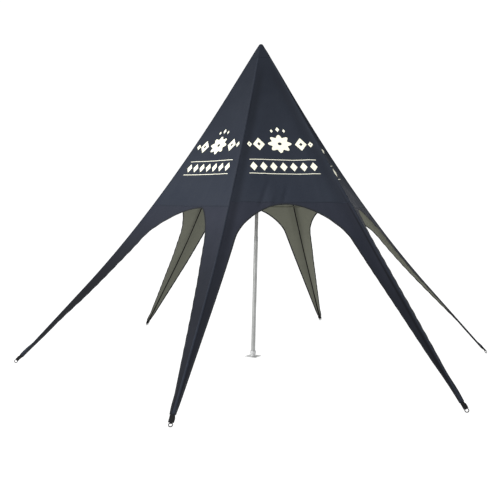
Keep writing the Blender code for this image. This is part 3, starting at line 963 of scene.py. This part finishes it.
def ringLoop(leg):
    # a band that runs to the ring, round its wire and back, its two layers closing behind it
    half, thick, radius = foot["loopHalf"], foot["loopThickness"] / 2, foot["ringRadius"]
    eye = foot["ringWire"] + 0.0004 + thick
    close = thick + 0.0001
    sway = radius - math.sqrt(radius ** 2 - half ** 2) + 0.0006
    run = np.linspace(-foot["loopTail"], sway, 46)
    opening = smoothStep((run + foot["loopNeck"]) / (foot["loopNeck"] - 0.002))
    apart = close + (eye - close) * opening
    turn = np.linspace(math.pi / 2, -math.pi / 2, 17)[1:-1]
    along = np.concatenate((run, sway + eye * np.cos(turn), run[::-1]))
    up = np.concatenate((apart, eye * np.sin(turn), -apart[::-1]))
    tangent = unit(np.stack((np.gradient(along), np.gradient(up)), -1))
    reach = np.array((-half, -half + 0.0006, 0.0, half - 0.0006, half, half - 0.0006, 0.0,
                      -half + 0.0006))
    rise = np.array((0.0, thick, thick, thick, 0.0, -thick, -thick, -thick))
    forward = along[:, None] - tangent[:, 1:] * rise - radius
    raised = up[:, None] + tangent[:, :1] * rise
    local = np.stack(np.broadcast_arrays(forward, reach, raised), -1)
    tubePiece("ringLoop", f"_{leg + 1}", placed(footFrame(leg), local), strapFinish,
              "black_webbing", "foot_loop")


def footPatch(leg):
    # webbing folded round the tip of the cloth, with a cut and stitched end
    z = np.linspace(foot["patchTop"], foot["patchEnd"], 26)[:, None]
    cover = foot["patchCover"]
    backing = -gore["thickness"] - ridge["strapDepth"] - cover
    share = np.linspace(-1, 1, 25)
    wide = smoothStep((z - foot["patchEven"]) / (foot["patchTop"] - foot["patchEven"]))
    sides = np.where(share > 0, flapWidth(leg, 1, z), flapWidth(leg, -1, z)) + 0.0035
    half = foot["patchHalves"][leg]
    reach = share * (half + (sides - half) * wide)
    softened = 1 - share ** 12
    top = overRidge(leg, z, reach, 0.0008 + cover * 0.6 * softened)
    under = overRidge(leg, z, reach, backing * (0.25 + 0.75 * softened))
    points = np.concatenate((top, under[:, ::-1]), 1)
    sharpen(tubePiece("footPatch", f"_{leg + 1}", points, strapFinish, "black_webbing"), 50)


for leg in legs:
    stakeRing(leg)
    ringLoop(leg)
    footPatch(leg)
print("feet made")

# Mast: two tubes, a turned socket with its collar, the plate, and the head under the hood.
mast = {
    "sides": 72,
    "lowerRadius": 0.034,
    "upperRadius": 0.0295,
    "step": 2.05,
    "lip": 0.0022,
    "floor": 0.0083,
    "top": 5.0557,
    "buttonHeight": 1.985,
    "buttonRadius": 0.0055,
    "buttonBearing": -60,
}


def turnedPiece(name, profile, finish, slot, node, closedProfile=False):
    # a profile of radius and height turned about the mast's axis
    radius, height = np.array(profile, float).T
    points = around(radius[:, None], wholeTurn(mast["sides"]), height[:, None])
    poles = [] if closedProfile else [(row, leaned((0, 0, height[row]))) for row in (0, -1)]
    piece = gridPiece(name, leaned(points), finish, wrap=True, loop=closedProfile, poles=poles)
    sharpen(declared(piece, slot, node), 35)


def roundedEdge(radius, height, size, steps=5):
    # a quarter circle, from beside its centre to above it
    angle = np.linspace(0, math.pi / 2, steps)
    return zip(radius + size * np.cos(angle), height + size * np.sin(angle))


lower, upper, step, lip = mast["lowerRadius"], mast["upperRadius"], mast["step"], mast["lip"]
lowerProfile = [
    (lower - 0.001, mast["floor"]), (lower, mast["floor"] + 0.001),
    *[(lower, z) for z in np.linspace(0.1, step - 0.03, 24)],
    *roundedEdge(lower - lip, step - lip - 0.001, lip),
    (upper + 0.0006, step - 0.001), (upper + 0.0006, step - 0.006),
]
turnedPiece("mastLower", lowerProfile, lowerFinish, "brushed_aluminium", "pole_lower")
upperProfile = [(upper, z) for z in np.linspace(step - 0.005, mast["top"], 34)]
turnedPiece("mastUpper", upperProfile, upperFinish, "shaded_aluminium", "pole_upper")


def springButton():
    # a domed steel button that stands through the lower tube and locks the two together
    size, turn = mast["buttonRadius"], math.radians(mast["buttonBearing"])
    angle = np.radians(np.linspace(0, 84, 9))
    radius = np.concatenate(((size,), size * np.cos(angle)))
    height = np.concatenate(((-0.004,), 0.0012 + 0.0030 * np.sin(angle)))
    out = np.array((math.cos(turn), math.sin(turn), 0.0))
    centre = out * mast["lowerRadius"] + upwards * mast["buttonHeight"]
    place = centre, np.cross(upwards, out), upwards, out
    points = placed(place, around(radius[:, None], wholeTurn(32), height[:, None]))
    poles = list(zip((0, -1), placed(place, np.array(((0, 0, -0.004), (0, 0, 0.0042))))))
    declared(gridPiece("springButton", points, ringFinish, wrap=True, poles=poles), "bright_steel")


springButton()

socket = {
    "bore": 0.0343,
    "floor": 0.0083,
    "flareRadius": 0.062,
    "flareHeight": 0.024,
    "radius": 0.043,
    "collarRadius": 0.049,
    "collarStart": 0.052,
    "collarEnd": 0.098,
    "weldSize": 0.0030,
    "weldRipples": 22,
}
flare, collar, floor = socket["flareRadius"], socket["collarRadius"], socket["floor"]
sweepIn = np.linspace(0, 1, 12)
flareHeights = floor + 0.004 + (socket["flareHeight"] - 0.004) * sweepIn
flareRadii = socket["radius"] + (flare - 0.0015 - socket["radius"]) * (1 - sweepIn) ** 2.2
socketProfile = [
    (flare, floor), (flare, floor + 0.0028),
    *zip(flareRadii, flareHeights),
    (socket["radius"], socket["collarStart"] - 0.001),
    (collar - 0.0015, socket["collarStart"]), (collar, socket["collarStart"] + 0.0015),
    *roundedEdge(collar - 0.004, socket["collarEnd"] - 0.004, 0.004, 7),
    (socket["bore"] + 0.001, socket["collarEnd"]), (socket["bore"], socket["collarEnd"] - 0.001),
    (socket["bore"], floor),
]
turnedPiece("mastSocket", socketProfile, plateFinish, "galvanised_steel", "base_socket",
            closedProfile=True)


def weldBead():
    # a torus whose size ripples with a sine, flattened where it lies on the plate
    turn, roll = wholeTurn(180)[:, None], wholeTurn(10)
    size = socket["weldSize"] * (1 + 0.16 * np.abs(np.sin(turn * socket["weldRipples"])))
    height = np.maximum(0.0086 + size * 0.9 * np.sin(roll), 0.0079)
    points = leaned(around(flare + 0.0004 + size * np.cos(roll), turn, height))
    tubePiece("socketWeld", "", points, plateFinish, "galvanised_steel", loop=True)


weldBead()
for node in ("base_plate", "mast_head"):
    frame["nodes"][node].data.materials.clear()
    frame["nodes"][node].data.materials.append(plateFinish)
print("mast made")

# Hood: a skin over the tips of the gores, and its turned hem.
hood = {
    "hem": 4.99,
    "lift": 0.0018,
    "ballRadius": 0.043,
    "thickness": 0.0012,
    "rows": 26,
    "tipRows": 9,
    "columnsPerSide": 12,
    "hemHalf": 0.003,
    "hemDepth": 0.0004,
}


def levelOut(points):
    # the level direction from the mast to each point
    return unit(points * np.array((1, 1, 0)))


def hoodRing(z, lift):
    # a six-sided ring round the peak, lifted off the cloth
    share = np.linspace(0, 1, hood["columnsPerSide"], endpoint=False)[:, None]
    sides = [chord(leg, 1, z) for leg in legs]
    points = np.concatenate([start[:, None] + across[:, None] * share
                             for start, across in sides], 1)
    return points + levelOut(points) * lift + upwards * lift / 2


def peakHood():
    # a skirt over the gores, then a ball that the steepest ridge's slope touches
    heights = np.linspace(hood["hem"], tent["rim"], hood["rows"])
    skirt = hoodRing(heights, hood["lift"])
    narrowest = min(float(ridgeRadius(leg, np.array(tent["rim"]))) for leg in legs)
    slope = math.atan(narrowest / (tent["peak"] - tent["rim"]))
    ball = hood["ballRadius"]
    centre = tent["peak"] - ball / math.sin(slope)
    angles = np.radians(np.linspace(32, 84, hood["tipRows"]))[:, None]
    turn = np.arctan2(skirt[-1][:, 1], skirt[-1][:, 0])
    tip = around(ball * np.cos(angles), turn, centre + ball * np.sin(angles))
    points = leaned(np.concatenate((skirt, tip)))
    top = leaned((0, 0, centre + ball))
    piece = gridPiece("peakHood", points, navyRoof, wrap=True, poles=[(-1, top)])
    thicken(piece, hood["thickness"])
    declared(piece, "navy_cloth", "peak_cap")


def hoodHem():
    # a flat ellipse carried round the skirt's lower edge
    path = hoodRing(np.array((hood["hem"] + 0.004,)), hood["lift"] - 0.001)[0][:, None]
    roll = wholeTurn(12)[:, None]
    hem = path + levelOut(path) * hood["hemDepth"] * np.cos(roll)
    hem = hem + upwards * hood["hemHalf"] * np.sin(roll)
    tubePiece("hoodHem", "", leaned(hem), navyRoof, "navy_cloth", loop=True)


peakHood()
hoodHem()
print("hood made")

# Ornament: a plain rosette between lozenges over a frieze of diamonds, on every panel.
# Places and sizes are across and up from its middle; rules give height, half length, thickness.
ornament = {
    "height": 3.40,
    "slope": 0.80,
    "lift": 0.0007,
    "thickness": 0.0005,
    "colour": (0.62, 0.61, 0.49),
    "rosettePlace": (0.0, 0.165),
    "rosetteRadius": 0.180,
    "rosetteDip": 0.30,
    "rosettePetals": 8,
    "rosetteHole": 0.17,
    "lozenges": ((0.320, 0.150, 0.090, 0.125), (0.465, 0.150, 0.038, 0.055)),
    "lozengeHole": 0.30,
    "crest": ((0.0, 0.455, 0.030, 0.050), (0.095, 0.425, 0.022, 0.036),
              (-0.095, 0.425, 0.022, 0.036)),
    "friezeCount": 7,
    "friezeStep": 0.150,
    "friezeUp": -0.290,
    "friezeDiamond": (0.055, 0.085),
    "rules": ((-0.155, 0.50, 0.011), (-0.425, 0.53, 0.011)),
}


def printedFinish(colour):
    # cream ink with the weave showing through and small worn specks
    finish, tree, shader = newFinish("creamInk", colour, 0.6)
    specks = ranged(clouds(tree, 55.0), 0.0, 0.5, 0.62, 0.78)
    tone = mixed(ranged(clouds(tree, 4.0, 3.0), 0.0, 0.35), colour, shaded(colour, 0.82))
    tone = mixed(specks, tone, shaded(colour, 0.45))
    connect(shader, tone, bumped(weave(tree), 0.3, 0.00018))
    return finish


creamInk = printedFinish(ornament["colour"])


def rosetteShape():
    # petals: a circle whose radius dips between them, more so towards the outside
    turn = np.linspace(0, 2 * math.pi, 121)[None]
    reach = np.linspace(ornament["rosetteHole"], 1, 9)[:, None]
    dip = ornament["rosetteDip"] * (0.5 - 0.5 * np.cos(ornament["rosettePetals"] * turn))
    radius = reach * ornament["rosetteRadius"] * (1 - dip * reach)
    across, up = ornament["rosettePlace"]
    return across + radius * np.sin(turn), up + radius * np.cos(turn)


def diamondShape(across, up, halfWide, halfHigh, hole=0.02):
    # a diamond's edge lies where |x| / halfWide + |y| / halfHigh is 1
    turn = np.linspace(0, 2 * math.pi, 49)[None]
    edge = 1 / (np.abs(np.sin(turn)) / halfWide + np.abs(np.cos(turn)) / halfHigh)
    span = np.linspace(hole, 1, 6)[:, None] * edge
    return across + span * np.sin(turn), up + span * np.cos(turn)


def ruleShape(up, half, thick):
    # a level bar in three rows
    rows, columns = np.linspace(-0.5, 0.5, 3)[:, None], np.linspace(-half, half, 80)
    return np.broadcast_arrays(columns, up + rows * thick)


def ornamentShapes():
    shapes = [rosetteShape()] + [ruleShape(*one) for one in ornament["rules"]]
    for across, *rest in ornament["lozenges"]:
        for place in (across, -across):
            shapes.append(diamondShape(place, *rest, ornament["lozengeHole"]))
    shapes += [diamondShape(*one) for one in ornament["crest"]]
    middle = (ornament["friezeCount"] - 1) / 2
    for number in range(ornament["friezeCount"]):
        place = (number - middle) * ornament["friezeStep"]
        shapes.append(diamondShape(place, ornament["friezeUp"], *ornament["friezeDiamond"]))
    return shapes


def panelOrnament(sector):
    # every shape is laid on the cloth between two ridges, and all become one thin print
    places, faces, corners, count = [], [], [], 0
    for across, up in ornamentShapes():
        z = ornament["height"] + up * ornament["slope"]
        middle = chordLength(sector, 1, z) / 2
        grid = clothPoint(sector, 1, z, middle + across, ornament["lift"])
        faces += (gridFaces(*grid.shape[:2], False, False) + count).tolist()
        corners.append(gridUvs(grid, False, False))
        places.append(grid.reshape(-1, 3))
        count += len(places[-1])
    piece = newPiece(f"ornament_{pairName(sector)}", np.concatenate(places), faces,
                     np.concatenate(corners), creamInk, joinDoubles)
    thicken(piece, ornament["thickness"])
    declared(piece, "navy_cloth")


for sector in legs:
    panelOrnament(sector)
print("ornament printed")

# Studio: a wide pale floor, an even white room, and one large soft light on the left.
studio = {
    "floorRadius": 90.0,
    "floorColour": (0.12, 0.12, 0.12),
    "floorGlow": 0.90,
    "roomStrength": 1.06,
    "keyPlace": (-13.0, -9.0, 9.0),
    "keySize": 9.0,
    "keyPower": 4200.0,
    "fillPlace": (10.0, -12.0, 8.0),
    "fillSize": 8.0,
    "fillPower": 150.0,
    "aim": (0.0, 0.0, 2.3),
}


def floorPiece():
    # a disc that glows a little, so that it stays as pale as the room out to its rim
    points = around(studio["floorRadius"], wholeTurn(64), 0.0)
    mesh = bpy.data.meshes.new("studioFloor")
    mesh.from_pydata(points.tolist(), [], [list(range(64))])
    glow = {"Emission Color": (1, 1, 1), "Emission Strength": studio["floorGlow"]}
    mesh.materials.append(newFinish("palePaper", studio["floorColour"], 0.9, **glow)[0])
    newObject("studioFloor", mesh)


def softLight(name):
    # a disc lamp turned towards the middle of the tent
    lamp = bpy.data.lights.new(name + "Light", "AREA")
    lamp.shape = "DISK"
    lamp.size = studio[name + "Size"]
    lamp.energy = studio[name + "Power"]
    light = newObject(name + "Light", lamp)
    light.location = studio[name + "Place"]
    aim = Vector(studio["aim"]) - Vector(studio[name + "Place"])
    light.rotation_mode = "QUATERNION"
    light.rotation_quaternion = aim.to_track_quat("-Z", "Y")


floorPiece()
softLight("key")
softLight("fill")
room = bpy.data.worlds.new("paleRoom")
room.use_nodes = True
backdrop = room.node_tree.nodes["Background"]
backdrop.inputs["Color"].default_value = (1, 1, 1, 1)
backdrop.inputs["Strength"].default_value = studio["roomStrength"]
bpy.context.scene.world = room
bpy.context.scene.view_settings.view_transform = "Standard"

# Camera: in front of the tent, a little above eye height. The focal length is in pixels of
# a picture of the given width.
view = {
    "place": (0.1277, -11.5062, 2.549),
    "yaw": -0.982,
    "pitch": -3.628,
    "roll": 0.592,
    "focalPixels": 681.36,
    "pixels": 500,
    "sensor": 36.0,
    "farthest": 500,
}
yaw, pitch, roll = (math.radians(view[key]) for key in ("yaw", "pitch", "roll"))
ahead = Vector((math.cos(pitch) * math.sin(yaw), math.cos(pitch) * math.cos(yaw), math.sin(pitch)))
right = ahead.cross(Vector((0, 0, 1))).normalized()
up = right.cross(ahead)
right, up = (right * math.cos(roll) + up * math.sin(roll),
             up * math.cos(roll) - right * math.sin(roll))
lens = bpy.data.cameras.new("photoCamera")
lens.sensor_width = view["sensor"]
lens.lens = view["sensor"] * view["focalPixels"] / view["pixels"]
lens.clip_end = view["farthest"]
camera = newObject("photoCamera", lens)
turned = Matrix((right, up, -ahead)).transposed().to_4x4()
camera.matrix_world = Matrix.Translation(view["place"]) @ turned
bpy.context.scene.camera = camera

print("scene ready")
